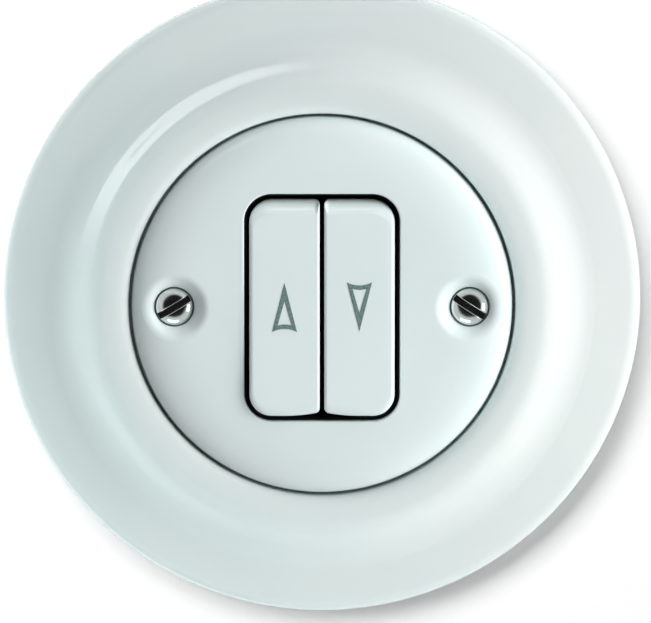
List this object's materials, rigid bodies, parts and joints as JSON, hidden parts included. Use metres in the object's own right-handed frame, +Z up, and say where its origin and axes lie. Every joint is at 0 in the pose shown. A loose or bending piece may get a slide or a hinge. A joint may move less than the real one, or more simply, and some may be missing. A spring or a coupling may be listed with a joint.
{
  "type": "roller shutter switch",
  "caption": "Round glazed porcelain flush wall switch for roller shutters, with spring-return up and down rockers, plated cover screws and a contact housing behind the wall.",
  "frame": {"origin": "middle of the switch on the wall plane, at the centre of the wall box screw pattern", "axes": "+X to the right seen from the front, +Y into the wall, +Z up"},
  "size_m": [0.1, 0.035, 0.1],
  "materials": {
    "porcelain": "glossy pale cold grey glaze",
    "arrow_enamel": "fired grey-green enamel line",
    "plated_screw": "bright nickel plate",
    "carrier_plastic": "moulded, satin",
    "dark_plastic": "moulded, matt black",
    "housing_plastic": "moulded, satin light grey",
    "zinc_steel": "zinc plated",
    "pin_steel": "ground",
    "spring_steel": "drawn wire",
    "brass": "stamped, satin",
    "silver_tip": "silver, satin"
  },
  "bodies": {
    "switch_base": {"frame": "porcelain", "cover_plate": "porcelain", "cover_screws": "plated_screw", "up_return_spring": "spring_steel", "down_return_spring": "spring_steel", "bearing_plate": "dark_plastic", "support_ring": "zinc_steel", "base_housing": "housing_plastic", "housing_screws": "zinc_steel", "line_contact": "brass", "link_contact": "brass", "up_contact": "brass", "down_contact": "brass", "fixed_contact_tips": "silver_tip", "up_lever_pin": "pin_steel", "down_lever_pin": "pin_steel", "up_contact_spring": "spring_steel", "down_contact_spring": "spring_steel", "line_terminal_block": "brass", "up_terminal_block": "brass", "down_terminal_block": "brass", "terminal_screws": "zinc_steel"},
    "up_rocker": {"up_rocker": "porcelain", "up_arrow_print": "arrow_enamel", "up_carrier": "carrier_plastic", "up_pivot_pin": "pin_steel"},
    "down_rocker": {"down_rocker": "porcelain", "down_arrow_print": "arrow_enamel", "down_carrier": "carrier_plastic", "down_pivot_pin": "pin_steel"},
    "up_lever": {"up_lever": "brass", "up_lever_tips": "silver_tip"},
    "down_lever": {"down_lever": "brass", "down_lever_tips": "silver_tip"}
  },
  "joints": [
    {"name": "up_rocker_tilt", "type": "hinge", "parent": "switch_base", "child": "up_rocker", "pos_m": [-0.00583, -0.007, 0], "axis": [1, 0, 0], "range_deg": [0, 6], "stiffness_Nm_per_rad": 0.3, "springref_deg": -5.73, "deforming": ["up_return_spring"]},
    {"name": "down_rocker_tilt", "type": "hinge", "parent": "switch_base", "child": "down_rocker", "pos_m": [0.00583, -0.007, 0], "axis": [1, 0, 0], "range_deg": [0, 6], "stiffness_Nm_per_rad": 0.3, "springref_deg": -5.73, "deforming": ["down_return_spring"]},
    {"name": "up_lever_tilt", "type": "hinge", "parent": "switch_base", "child": "up_lever", "pos_m": [-0.00583, 0.006, 0], "axis": [1, 0, 0], "range_deg": [0, 6], "deforming": ["up_contact_spring"]},
    {"name": "down_lever_tilt", "type": "hinge", "parent": "switch_base", "child": "down_lever", "pos_m": [0.00583, 0.006, 0], "axis": [1, 0, 0], "range_deg": [0, 6], "deforming": ["down_contact_spring"]}
  ],
  "couplings": [
    {"joint": "up_lever_tilt", "follows": "up_rocker_tilt", "ratio": 1},
    {"joint": "down_lever_tilt", "follows": "down_rocker_tilt", "ratio": 1}
  ]
}
